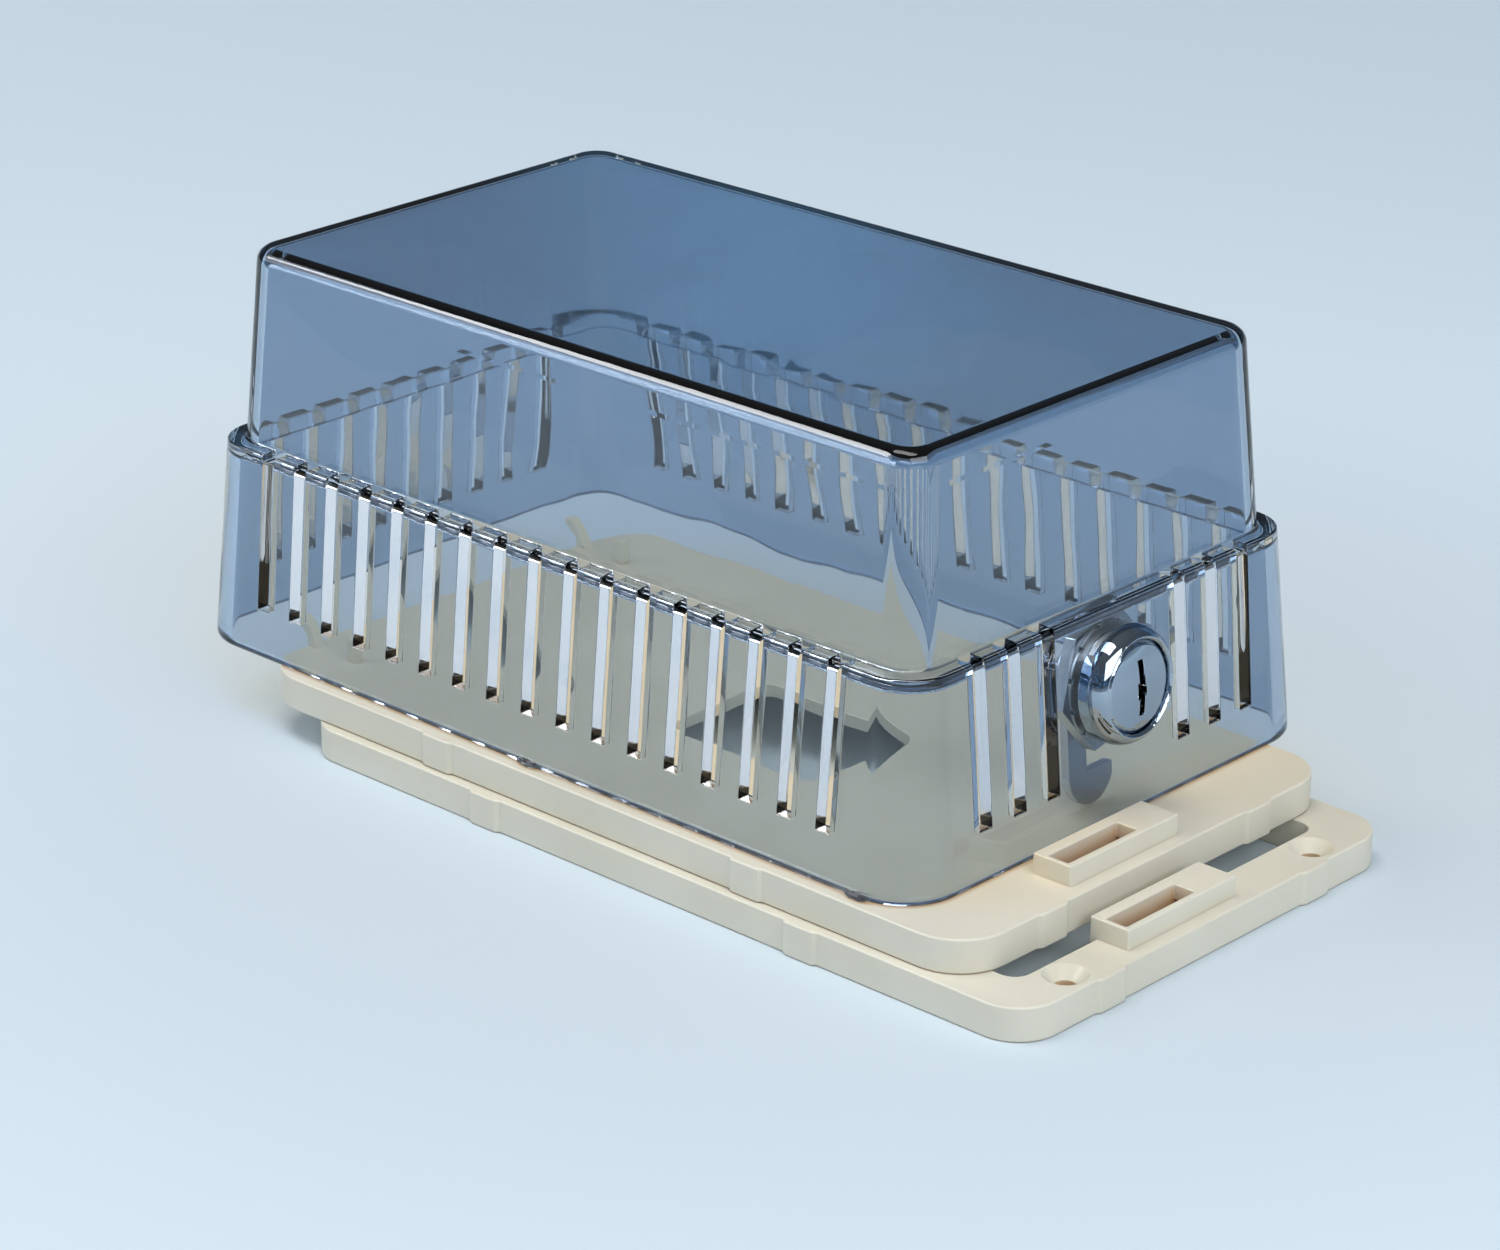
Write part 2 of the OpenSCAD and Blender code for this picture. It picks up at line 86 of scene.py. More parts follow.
# %% Node helpers
def feed(tree, target, value):
    """Links value to a socket if it is a socket itself, else sets it as a plain value."""
    if isinstance(value, bpy.types.NodeSocket):
        tree.links.new(value, target)
    elif value is not None:
        target.default_value = value


def add(tree, kind, settings=None, inputs=None):
    """Adds a node to a tree. inputs maps a socket's name or number to a value or a socket."""
    made = tree.nodes.new(kind)
    for name, value in (settings or {}).items():
        setattr(made, name, value)
    for key, value in (inputs or {}).items():
        feed(tree, made.inputs[key], value)
    return made


def maths(tree, operation, a, b=None, clamp=False):
    """One Math node's result."""
    inputs = {0: a} if b is None else {0: a, 1: b}
    settings = {"operation": operation, "use_clamp": clamp}
    return add(tree, "ShaderNodeMath", settings, inputs).outputs[0]


def above(tree, a, b, gain):
    """How far a is above b, times gain, kept between 0 and 1."""
    return maths(tree, "MULTIPLY", maths(tree, "SUBTRACT", a, b), gain, True)


def blended(tree, share, a, b):
    """Mixes two colours by share."""
    mixed = add(tree, "ShaderNodeMix", {"data_type": "RGBA"}, {0: share, 6: a, 7: b})
    return mixed.outputs[2]


print("node helpers ready")

# %% [markdown]
# ## Shared effects
# Real surfaces are never perfectly even. Three effects are used by more than one material,
# so each is a node group that is built once: a fine grain for moulded and cast surfaces,
# wipe marks for anything that hands touch, and a mask that finds edges, where plating and
# plastic polish thin out. Each puts out only masks and heights, and every material mixes
# them in its own way.


# %% Build the shared effects
def effect(name, numbers, outputs):
    """An empty shader group with number inputs and number outputs."""
    group = bpy.data.node_groups.new(name, "ShaderNodeTree")
    for label, value in numbers.items():
        made = group.interface.new_socket(label, in_out="INPUT", socket_type="NodeSocketFloat")
        made.default_value = value
    for label in outputs:
        group.interface.new_socket(label, in_out="OUTPUT", socket_type="NodeSocketFloat")
    return group, group.nodes.new("NodeGroupInput").outputs, group.nodes.new("NodeGroupOutput").inputs


def noise(tree, where, scale, detail=2.0, rough=0.5):
    """A noise pattern in object space."""
    inputs = {"Vector": where, "Scale": scale, "Detail": detail, "Roughness": rough}
    return add(tree, "ShaderNodeTexNoise", None, inputs).outputs[0]


def place_of(tree):
    """The place of a point of the surface, in metres in the object's own frame."""
    return add(tree, "ShaderNodeTexCoord").outputs["Object"]


grain, given, out = effect("fine_grain", {"Scale": 900.0}, ["Height", "Drift"])
where = place_of(grain)
pits = noise(grain, where, given["Scale"], 3.0, 0.6)
broad = noise(grain, where, maths(grain, "DIVIDE", given["Scale"], 40.0), 2.0)
feed(grain, out["Height"], pits)
feed(grain, out["Drift"], above(grain, broad, 0.35, 3.0))

wipes, given, out = effect("wipe_marks", {"Scale": 60.0, "Stretch": 8.0}, ["Mark"])
stretch = add(wipes, "ShaderNodeCombineXYZ", None, {0: 1.0, 1: given["Stretch"], 2: 1.0}).outputs[0]
turned = add(wipes, "ShaderNodeMapping", None, {"Vector": place_of(wipes), "Scale": stretch})
lines = noise(wipes, turned.outputs[0], given["Scale"], 6.0, 0.7)
patches = noise(wipes, place_of(wipes), maths(wipes, "MULTIPLY", given["Scale"], 0.3), 2.0)
feed(wipes, out["Mark"], maths(wipes, "MULTIPLY", above(wipes, lines, 0.5, 5.0), patches))

edges, given, out = effect("edge_find", {"Gain": 12.0}, ["Edge"])
point = add(edges, "ShaderNodeNewGeometry").outputs["Pointiness"]
feed(edges, out["Edge"], above(edges, point, 0.51, given["Gain"]))
print("shared effects:", [g.name for g in (grain, wipes, edges)])

# %% [markdown]
# ## Materials
# Each finish is a Principled shader whose plain numbers are set on the shader itself. Only
# what changes over the surface is linked in from the effects.


# %% Material helpers
def finish(name, **plain):
    """A material with a Principled shader and its plain values. Returns the material's parts."""
    material = bpy.data.materials.new(name)
    material.use_nodes = True
    tree = material.node_tree
    tree.nodes.clear()
    out = tree.nodes.new("ShaderNodeOutputMaterial")
    values = {key.replace("_", " "): value for key, value in plain.items()}
    shader = add(tree, "ShaderNodeBsdfPrincipled", None, values)
    tree.links.new(shader.outputs[0], out.inputs["Surface"])
    return material, tree, shader, out


def use(tree, group, **numbers):
    """Places a shared effect in a material with its own values."""
    return add(tree, "ShaderNodeGroup", {"node_tree": group}, numbers).outputs


def bump(tree, shader, height, strength, distance):
    """Turns a height into relief that is at most distance metres deep."""
    inputs = {"Height": height, "Strength": strength, "Distance": distance}
    relief = add(tree, "ShaderNodeBump", None, inputs)
    tree.links.new(relief.outputs[0], shader.inputs["Normal"])


def around(tree, middle, mask, swing):
    """middle plus swing where the mask is 1."""
    return maths(tree, "ADD", maths(tree, "MULTIPLY", mask, swing), middle)


print("material helpers ready")

# %% [markdown]
# ### Clear plastic
# The cover is one injection moulding of clear plastic, 3 mm thick, with a cool blue-grey
# cast. Two walls in line look clearly blue, and one wall over the cream plates only greys
# them. A plain glass shader would throw a black shadow inside the box, because Cycles
# can't find a lamp through a bent path. So rays from lamps, and rays that carry soft
# light, pass straight through a Transparent shader instead, and only what the camera and
# the mirrors see is bent. A moulded wall is never optically flat, so a slow noise bends
# what is seen through it, and the flat top bends it least. A slot's sides are a second,
# paler copy, because light that leaves there has crossed far less plastic than a wall.

# %% Clear plastic
WALL_TINT, CUT_TINT = (0.455, 0.556, 0.68, 1.0), (0.78, 0.80, 0.84, 1.0)
LAMP_TINT = (1.0, 0.945, 0.855, 1)
# The height in metres above which the plastic is nearly flat, how fast the waves fade
# towards it, and what is left of them there.
FLAT_ABOVE, FLAT_FADE, FLAT_SHARE = 0.0965, 160.0, 0.15


def clear(name, tint):
    """Clear plastic. The tint is what one crossing of a whole wall leaves of white light."""
    plain = {"Transmission_Weight": 1.0, "IOR": 1.49, "Metallic": 0.0}
    material, tree, shader, out = finish(name, Base_Color=tint, **plain)
    smear = use(tree, wipes, Scale=25.0, Stretch=4.0)["Mark"]
    feed(tree, shader.inputs["Roughness"], around(tree, 0.015, smear, 0.05))
    height = add(tree, "ShaderNodeSeparateXYZ", None, {0: place_of(tree)}).outputs[2]
    below_top = above(tree, FLAT_ABOVE, height, FLAT_FADE)
    flow = noise(tree, place_of(tree), 38.0, 1.0)
    swing = around(tree, FLAT_SHARE, below_top, 1 - FLAT_SHARE)
    bump(tree, shader, maths(tree, "MULTIPLY", flow, swing), 0.22, 0.002)
    path = add(tree, "ShaderNodeLightPath").outputs
    passing = maths(tree, "MAXIMUM", path["Is Shadow Ray"], path["Is Diffuse Ray"])
    straight = add(tree, "ShaderNodeBsdfTransparent", None, {"Color": LAMP_TINT}).outputs[0]
    both = add(tree, "ShaderNodeMixShader", None, {0: passing, 1: shader.outputs[0], 2: straight})
    tree.links.new(both.outputs[0], out.inputs["Surface"])
    return material


clear_plastic = clear("clear_moulding", WALL_TINT)
cut_plastic = clear("clear_slot_sides", CUT_TINT)
print("tint of one wall:", WALL_TINT[:3], "and of a slot's side:", CUT_TINT[:3])

# %% [markdown]
# ### Cream plastic
# Both plates are a warm ivory plastic with a satin, lightly sparked surface. A little light
# goes into it and comes out warmer, so its deep holes glow brown instead of going grey.
# Subsurface scattering with a longer reach in red gives some of that, and the rest is a
# painted shade: a brown that the Ambient Occlusion node lays into holes and narrow gaps.

# %% Cream plastic
IVORY, PALE_IVORY, RUBBED_IVORY = (0.67, 0.64, 0.53, 1), (0.72, 0.69, 0.585, 1), (0.77, 0.75, 0.66, 1)
# Painted shade colours: one for the thin gap where the plates meet, one for deep holes.
SEAM_SHADE_BROWN, HOLE_SHADE_BROWN = (0.40, 0.27, 0.16, 1), (0.55, 0.29, 0.11, 1)
cream_plastic, tree, shader, _ = finish(
    "cream_moulding",
    Subsurface_Weight=0.12,
    Subsurface_Radius=(1.0, 0.55, 0.25),
    Subsurface_Scale=0.004,
    IOR=1.5,
)
fine = use(tree, grain, Scale=1500.0)
tone = blended(tree, fine["Drift"], IVORY, PALE_IVORY)
worn = use(tree, edges, Gain=8.0)["Edge"]
rubbed = blended(tree, maths(tree, "MULTIPLY", worn, 0.35), tone, RUBBED_IVORY)
own_shape = {"samples": 8, "only_local": True}
# Painted shade: the first occlusion browns deep holes in a plate, the second the thin gap where the two
# plates touch.
gap = add(tree, "ShaderNodeAmbientOcclusion", own_shape, {"Distance": 0.012}).outputs["AO"]
painted_hole_shade = above(tree, 0.5, gap, 3.0)
seam = add(tree, "ShaderNodeAmbientOcclusion", {"samples": 8}, {"Distance": 0.0016}).outputs["AO"]
with_painted_seam_shade = blended(tree, above(tree, 0.6, seam, 1.8), rubbed, SEAM_SHADE_BROWN)
feed(tree, shader.inputs["Base Color"], blended(tree, painted_hole_shade, with_painted_seam_shade, HOLE_SHADE_BROWN))
handled = use(tree, wipes, Scale=90.0, Stretch=5.0)["Mark"]
feed(tree, shader.inputs["Roughness"], around(tree, 0.40, handled, 0.12))
bump(tree, shader, fine["Height"], 0.15, 0.0001)
print("cream plastic ready")

# %% [markdown]
# ### Lock metals
# The lock's head is polished chrome: almost a mirror, so its look is the room it
# reflects, broken by hair-thin wipe marks. Its base colour is darker and bluer than chrome,
# a painted reflection of blue surroundings. The nut and its toothed washer are dull steel
# with a grainy zinc plating, the cam and its washers are stamped steel, the wafers are
# brass and their springs are bright wire.


# %% Lock metals
def metal(name, colour, worn_colour, roughness, swing, mark_scale, relief):
    """A metal with wipe marks in its shine and a different tone where edges are rubbed."""
    material, tree, shader, _ = finish(name, Metallic=1.0)
    mark = use(tree, wipes, Scale=mark_scale, Stretch=14.0)["Mark"]
    edge = use(tree, edges, Gain=10.0)["Edge"]
    drift = use(tree, grain, Scale=1200.0)
    darker = [0.86 * c for c in colour[:3]] + [1]
    base = blended(tree, maths(tree, "MULTIPLY", drift["Drift"], 0.5), colour, darker)
    feed(tree, shader.inputs["Base Color"], blended(tree, edge, base, worn_colour))
    feed(tree, shader.inputs["Roughness"], around(tree, roughness, mark, swing))
    bump(tree, shader, drift["Height"], relief, 0.00005)
    return material


# The chrome's dark blue-grey base colour is a painted reflection of blue surroundings.
CHROME_WITH_PAINTED_REFLECTION, BARE_CHROME = (0.35, 0.42, 0.50, 1), (0.60, 0.62, 0.64, 1)
ZINC, BARE_ZINC = (0.46, 0.47, 0.47, 1), (0.66, 0.66, 0.65, 1)
STEEL, BARE_STEEL = (0.42, 0.44, 0.47, 1), (0.66, 0.67, 0.69, 1)
BRASS, BARE_BRASS = (0.80, 0.60, 0.27, 1), (0.90, 0.74, 0.42, 1)
WIRE, BARE_WIRE = (0.70, 0.71, 0.73, 1), (0.85, 0.85, 0.86, 1)
lock_chrome = metal("polished_chrome", CHROME_WITH_PAINTED_REFLECTION, BARE_CHROME, 0.03, 0.10, 300.0, 0.02)
nut_steel = metal("dark_zinc", ZINC, BARE_ZINC, 0.32, 0.25, 420.0, 0.80)
cam_steel = metal("stamped_steel", STEEL, BARE_STEEL, 0.32, 0.20, 150.0, 0.25)
wafer_brass = metal("brass", BRASS, BARE_BRASS, 0.28, 0.20, 250.0, 0.20)
spring_steel = metal("bright_wire", WIRE, BARE_WIRE, 0.20, 0.10, 300.0, 0.10)
print("metals:", [m.name for m in (lock_chrome, nut_steel, cam_steel, wafer_brass, spring_steel)])

# %% [markdown]
# ## Mesh helpers
# CAD edges are perfectly sharp, and real ones never are. A bevel of a few tenths of a
# millimetre catches the light as a thin bright line, which does more for realism than any
# texture. The helpers below bake modifiers into a plain mesh, so that the mesh itself
# holds what is seen. Weighted normals keep the large faces optically flat beside their bevels.


# %% Mesh helpers
def new_object(name, mesh=None):
    """An object at the origin, linked to the scene."""
    made = bpy.data.objects.new(name, mesh or bpy.data.meshes.new(name))
    bpy.context.scene.collection.objects.link(made)
    return made


def bake(piece):
    """Turns a piece's modifiers into its plain mesh."""
    graph = bpy.context.evaluated_depsgraph_get()
    graph.update()
    mesh = bpy.data.meshes.new_from_object(
        piece.evaluated_get(graph), preserve_all_data_layers=True, depsgraph=graph
    )
    piece.modifiers.clear()
    piece.data = mesh
    mesh.name = piece.name


def soften(piece, width, angle=35):
    """Rounds the edges of a piece that turn by more than angle, by width millimetres."""
    piece.data.shade_smooth()
    edge = piece.modifiers.new("edge", "BEVEL")
    edge.width, edge.segments, edge.limit_method = width * MM, 2, "ANGLE"
    edge.angle_limit, edge.use_clamp_overlap = math.radians(angle), False
    flat = piece.modifiers.new("flat", "WEIGHTED_NORMAL")
    flat.keep_sharp = False
    bake(piece)


def settle(piece, material, slot_name, body, *nodes):
    """Gives a finished piece its material, its body and the CAD nodes that it stands for."""
    if material:
        piece.data.materials.clear()
        piece.data.materials.append(material)
    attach(piece, body)
    if nodes:
        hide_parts(*nodes)
    print(piece.name, "has", len(piece.data.polygons), "faces and rides on", body)


def copy_of(node, name):
    """A merged copy of a CAD node, free to be reworked."""
    piece = new_object(name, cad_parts[node].data.copy())
    work = bmesh.new()
    work.from_mesh(piece.data)
    bmesh.ops.remove_doubles(work, verts=work.verts, dist=1e-6)
    work.to_mesh(piece.data)
    work.free()
    if "custom_normal" in piece.data.attributes:
        piece.data.attributes.remove(piece.data.attributes["custom_normal"])
    return piece


print("mesh helpers ready")

# %% [markdown]
# ## The cover's shell
# The cover is a skirt that leans in a little, a flat ledge, and a narrower upper box. Seen
# from above, every level of it is a rounded rectangle. So it can be made as a stack of
# such rings, each with the same number of points, joined by faces: first up the outside,
# then back down the inside, and closed under the rim. Small arcs between the levels round
# the edges, as the mould does. The draft is what lets the part leave its mould.

# %% Cover sizes in millimetres
COVER_L, COVER_W, COVER_H = 200.0, 121.5, 84.0
SHOULDER_Z, END_DRAFT, SIDE_DRAFT, LEDGE = 43.3, 3.5, 4.1, 3.6
UPPER_DRAFT, WALL, TOP_ROUND = 2.6, 3.0, 3.2
RIM_R, SHOULDER_R, UPPER_R = 13.0, 10.0, 7.0
COVER_AT = (-34.75, 9.75, 14.0)
LOCK_TILT = math.atan(END_DRAFT / SHOULDER_Z)
WALL_RUN = WALL / math.cos(LOCK_TILT)
FOOT_L, FOOT_W = COVER_L / 2 - END_DRAFT - LEDGE, COVER_W / 2 - SIDE_DRAFT - LEDGE
print("half foot of the upper box:", FOOT_L, FOOT_W, "lock tilt:", round(math.degrees(LOCK_TILT), 2))


# %% Rings of the cover
def skirt(z, run=0.0):
    """Half length, half width, corner radius and height of the skirt at z."""
    part = z / SHOULDER_Z
    return (
        COVER_L / 2 - END_DRAFT * part - run,
        COVER_W / 2 - SIDE_DRAFT * part - run,
        RIM_R - (RIM_R - SHOULDER_R) * part - run,
        z,
    )


def upper(z, run=0.0):
    """The same for the upper box."""
    part = (z - SHOULDER_Z + 1) / (COVER_H - TOP_ROUND - SHOULDER_Z + 1)
    return (FOOT_L - UPPER_DRAFT * part - run, FOOT_W - UPPER_DRAFT * part - run, UPPER_R - run, z)


def moved(ring, inwards):
    """The ring, drawn in by inwards."""
    return (ring[0] - inwards, ring[1] - inwards, max(ring[2] - inwards, 0.5), ring[3])


def arc(steps):
    """Sine and cosine of angles from 0 to 90 degrees."""
    angles = [math.pi / 2 * i / steps for i in range(steps + 1)]
    return [(math.sin(a), math.cos(a)) for a in angles]


RIM_EDGE, LEDGE_EDGE, SHOULDER_EDGE, FOOT_FILLET, INNER_FILLET = 1.45, 0.5, 0.5, 0.6, 1.2
rings = [moved(skirt(RIM_EDGE * (1 - c)), RIM_EDGE * (1 - s)) for s, c in arc(4)]
rings += [moved(skirt(SHOULDER_Z - SHOULDER_EDGE * (1 - s)), SHOULDER_EDGE * (1 - c)) for s, c in arc(5)]
rings += [moved(upper(SHOULDER_Z + FOOT_FILLET * (1 - c)), -FOOT_FILLET * (1 - s)) for s, c in arc(4)]
top = upper(COVER_H - TOP_ROUND)
for s, c in arc(9):
    rings.append(moved(top, TOP_ROUND * (1 - c))[:3] + (COVER_H - TOP_ROUND * (1 - s),))
top_row = len(rings) - 1
under = COVER_H - WALL
rings += [moved(upper(under - INNER_FILLET * (1 - c), WALL), INNER_FILLET * (1 - s)) for s, c in arc(4)]
ledge_under = SHOULDER_Z - WALL
for s, c in arc(3):
    rings.append(moved(upper(ledge_under + LEDGE_EDGE * (1 - s), WALL), -LEDGE_EDGE * (1 - c)))
for s, c in arc(4):
    rings.append(moved(skirt(ledge_under - FOOT_FILLET * (1 - c), WALL_RUN), FOOT_FILLET * (1 - s)))
rings += [moved(skirt(RIM_EDGE * (1 - s), WALL_RUN), -RIM_EDGE * (1 - c)) for s, c in arc(3)]
print("rings up the outside and down the inside:", len(rings))


# %% Loft the shell
def ring_points(half_l, half_w, r, z, steps=14):
    """The points of a rounded rectangle, with steps faces round each corner."""
    points = []
    for turn, (sx, sy) in enumerate(((1, 1), (-1, 1), (-1, -1), (1, -1))):
        for i in range(steps + 1):
            a = math.pi / 2 * (turn + i / steps)
            points.append((sx * (half_l - r) + r * math.cos(a), sy * (half_w - r) + r * math.sin(a), z))
    return points


def skin(work, row_a, row_b):
    """Joins two rows of as many points by a band of faces."""
    count = len(row_a)
    for i in range(count):
        j = (i + 1) % count
        work.faces.new((row_a[i], row_a[j], row_b[j], row_b[i]))


cover_shell = new_object("cover_shell")
work = bmesh.new()
rows = []
for ring in rings:
    rows.append([work.verts.new((Vector(p) + Vector(COVER_AT)) * MM) for p in ring_points(*ring)])
for number in range(len(rows) - 1):
    if number != top_row:
        skin(work, rows[number], rows[number + 1])
skin(work, rows[-1], rows[0])
work.faces.new(rows[top_row])
work.faces.new(list(reversed(rows[top_row + 1])))
bmesh.ops.recalc_face_normals(work, faces=work.faces)
work.to_mesh(cover_shell.data)
volume = work.calc_volume() * 1e9
work.free()
print("shell volume in cubic millimetres:", round(volume))


# %% Two gate marks on the rim
GATES_X, GATE_Y, GATE_Z, GATE_HALF = (-34.0, 52.0), -50.8, 14.9, (2.7, 0.85, 0.8)


def gate_mark(x):
    """The rough stub that is left where plastic flowed into the mould."""
    half_l, half_w, half_h = GATE_HALF
    work = bmesh.new()
    bmesh.ops.create_icosphere(work, subdivisions=3, radius=1)
    for vertex in work.verts:
        v = vertex.co
        rough = 1 + 0.13 * (math.sin(7 * v.x + 5 * v.z + x) + math.sin(11 * v.y - 6 * v.x + 3 * v.z))
        shape = Vector((v.x * half_l, v.y * half_w, v.z * half_h)) * rough
        vertex.co = (shape + Vector((x, GATE_Y, GATE_Z))) * MM
    made = new_object("gate_mark")
    work.to_mesh(made.data)
    work.free()
    return made


for x in GATES_X:
    mark = gate_mark(x)
    join = cover_shell.modifiers.new("gate", "BOOLEAN")
    join.operation, join.solver, join.object = "UNION", "EXACT", mark
    bake(cover_shell)
    bpy.data.objects.remove(mark)
print("faces with the gate marks:", len(cover_shell.data.polygons))

# %% [markdown]
# ## The vent slots
# Air must reach the thermostat, so the skirt is cut by rows of tall slots: seventeen on
# each long side, nine on the far end and six beside the lock. A row is one slot repeated
# along a line, which is what Geometry Nodes do best. The tree below makes a row of boxes
# from a count, a pitch and a size, and leaves out the middle where the lock sits. The
# boxes are then taken out of the shell with a Boolean modifier.


# %% A tree that makes a row of cutters
def new_tree(name, sizes):
    """An empty Geometry Nodes tree with named inputs, in the order of sizes."""
    tree = bpy.data.node_groups.new(name, "GeometryNodeTree")
    tree.interface.new_socket("Geometry", in_out="INPUT", socket_type="NodeSocketGeometry")
    for label, value in sizes.items():
        kind = "NodeSocketInt" if isinstance(value, int) else "NodeSocketFloat"
        tree.interface.new_socket(label, in_out="INPUT", socket_type=kind).default_value = value
    tree.interface.new_socket("Geometry", in_out="OUTPUT", socket_type="NodeSocketGeometry")
    return tree, tree.nodes.new("NodeGroupInput").outputs, tree.nodes.new("NodeGroupOutput").inputs


def places(tree):
    """X, Y and Z of every point."""
    here = tree.nodes.new("GeometryNodeInputPosition").outputs[0]
    return add(tree, "ShaderNodeSeparateXYZ", None, {0: here}).outputs


def repeated(tree, points, instance):
    """The instance on every point."""
    inputs = {"Points": points, "Instance": instance}
    return add(tree, "GeometryNodeInstanceOnPoints", None, inputs).outputs[0]


def close_tree(tree, geometry, material, out):
    """Every tree ends with real geometry that has a material."""
    real = add(tree, "GeometryNodeRealizeInstances", None, {0: geometry}).outputs[0]
    dressed = add(tree, "GeometryNodeSetMaterial", None, {"Geometry": real, "Material": material})
    tree.links.new(dressed.outputs[0], out[0])


def grow(name, tree, **sizes):
    """Runs a tree with these sizes and returns the result as a plain mesh object."""
    piece = new_object(name)
    modifier = piece.modifiers.new(tree.name, "NODES")
    modifier.node_group = tree
    for socket in tree.interface.items_tree:
        if socket.in_out == "INPUT" and socket.name in sizes:
            modifier[socket.identifier] = sizes[socket.name]
    bake(piece)
    return piece


slot_row, given, out = new_tree(
    "slot_row", {"Count": 9, "Pitch": 0.01, "Width": 0.003, "Depth": 0.01, "Height": 0.03, "Gap": 0.0}
)
reach = maths(slot_row, "MULTIPLY", maths(slot_row, "SUBTRACT", given["Count"], 1.0), given["Pitch"])
first = add(slot_row, "ShaderNodeCombineXYZ", None, {0: maths(slot_row, "MULTIPLY", reach, -0.5)})
stride = add(slot_row, "ShaderNodeCombineXYZ", None, {0: given["Pitch"]})
line = add(
    slot_row,
    "GeometryNodeMeshLine",
    {"mode": "OFFSET"},
    {"Count": given["Count"], "Start Location": first.outputs[0], "Offset": stride.outputs[0]},
)
across = maths(slot_row, "ABSOLUTE", places(slot_row)[0])
in_gap = maths(slot_row, "LESS_THAN", across, given["Gap"])
kept = add(
    slot_row,
    "GeometryNodeDeleteGeometry",
    None,
    {"Geometry": line.outputs[0], "Selection": in_gap},
)
size = add(
    slot_row,
    "ShaderNodeCombineXYZ",
    None,
    {0: given["Width"], 1: given["Depth"], 2: given["Height"]},
)
slot_box = add(slot_row, "GeometryNodeMeshCube", None, {"Size": size.outputs[0]})
close_tree(slot_row, repeated(slot_row, kept.outputs[0], slot_box.outputs[0]), cut_plastic, out)
print("slot row tree has", len(slot_row.nodes), "nodes")

# %% Cutters for the slots
SLOT_PITCH, SLOT_W, SLOT_Z = 9.7, 3.4, 10.5
SIDE_SLOTS, END_SLOTS, LOCK_GAP = 17, 9, 1.5 * SLOT_PITCH
CUT_H, CUT_D = SHOULDER_Z + 1 - SLOT_Z, 9.2


def cutter(name, count, foot, turn, gap=0.0):
    """One row of cutters, turned to its side of the cover."""
    row = grow(
        name,
        slot_row,
        Count=count,
        Pitch=SLOT_PITCH * MM,
        Width=SLOT_W * MM,
        Depth=CUT_D * MM,
        Height=CUT_H * MM,
        Gap=gap * MM,
    )
    out_by = Matrix.Translation(Vector((0, foot + CUT_D / 2, SLOT_Z + CUT_H / 2)) * MM)
    row.data.transform(
        Matrix.Translation(Vector(COVER_AT) * MM) @ Matrix.Rotation(math.radians(turn), 4, "Z") @ out_by
    )
    return row


cutters = [
    cutter("far_side", SIDE_SLOTS, FOOT_W, 0),
    cutter("near_side", SIDE_SLOTS, FOOT_W, 180),
    cutter("far_end", END_SLOTS, FOOT_L, 90),
    cutter("lock_end", END_SLOTS, FOOT_L, -90, LOCK_GAP),
]
print("slots:", [len(c.data.polygons) // 6 for c in cutters])

# %% [markdown]
# ## The lock's hole
# The lock's body has two flats, and so has its hole, so that the lock can't spin in the
# wall. The lock leans back with the wall it sits in, and everything on it is easiest to
# make upright in the lock's own space and then turned into place by one matrix.

# %% Lock space
LOCK_AT = (63.011, 9.75, 41.7)
LOCK = Matrix.Translation(Vector(LOCK_AT) * MM) @ Matrix.Rotation(-LOCK_TILT, 4, "Y")
BARREL_R, BARREL_FLATS, HOLE_GAP = 9.5, 16.2, 0.2
HOLE_FROM, HOLE_TO = -6.0, 3.0
print("lock axis:", [round(v, 5) for v in LOCK.col[0].xyz])


# %% Cut the slots and the lock's hole
def double_d(name, r, half_flats, x0, x1):
    """A bar along the lock's axis from x0 to x1: round, with two flats."""
    steps = 72
    work = bmesh.new()
    ends = []
    for x in (x0, x1):
        row = []
        for i in range(steps):
            a = 2 * math.pi * (i + 0.5) / steps
            y = max(-half_flats, min(half_flats, r * math.cos(a)))
            row.append(work.verts.new(Vector((x, y, r * math.sin(a))) * MM))
        ends.append(row)
    skin(work, *ends)
    for row in ends:
        work.faces.new(row)
    bmesh.ops.recalc_face_normals(work, faces=work.faces)
    made = new_object(name)
    work.to_mesh(made.data)
    work.free()
    made.data.transform(LOCK)
    return made


cover_shell.data.materials.append(clear_plastic)
hole_size = (BARREL_R + HOLE_GAP, BARREL_FLATS / 2 + HOLE_GAP)
cutters.append(double_d("lock_hole", *hole_size, HOLE_FROM, HOLE_TO))
for number, tool in enumerate(cutters):
    cut = cover_shell.modifiers.new("cut_%d" % number, "BOOLEAN")
    cut.operation, cut.solver, cut.object = "DIFFERENCE", "EXACT", tool
    cut.material_mode = "TRANSFER"
bake(cover_shell)
for tool in cutters:
    bpy.data.objects.remove(tool)
print("materials of the cover:", [m.name for m in cover_shell.data.materials])

# %% Clean the cuts and soften their edges
MERGE_DISTANCE = 2e-6
work = bmesh.new()
work.from_mesh(cover_shell.data)
bmesh.ops.remove_doubles(work, verts=work.verts, dist=MERGE_DISTANCE)
bmesh.ops.dissolve_degenerate(work, edges=work.edges, dist=MERGE_DISTANCE)
open_edges = sum(1 for e in work.edges if not e.is_manifold)
work.to_mesh(cover_shell.data)
work.free()
soften(cover_shell, 0.22, 40)
settle(cover_shell, None, "clear_plastic", "guard", "cover")
print("edges that are not closed:", open_edges)

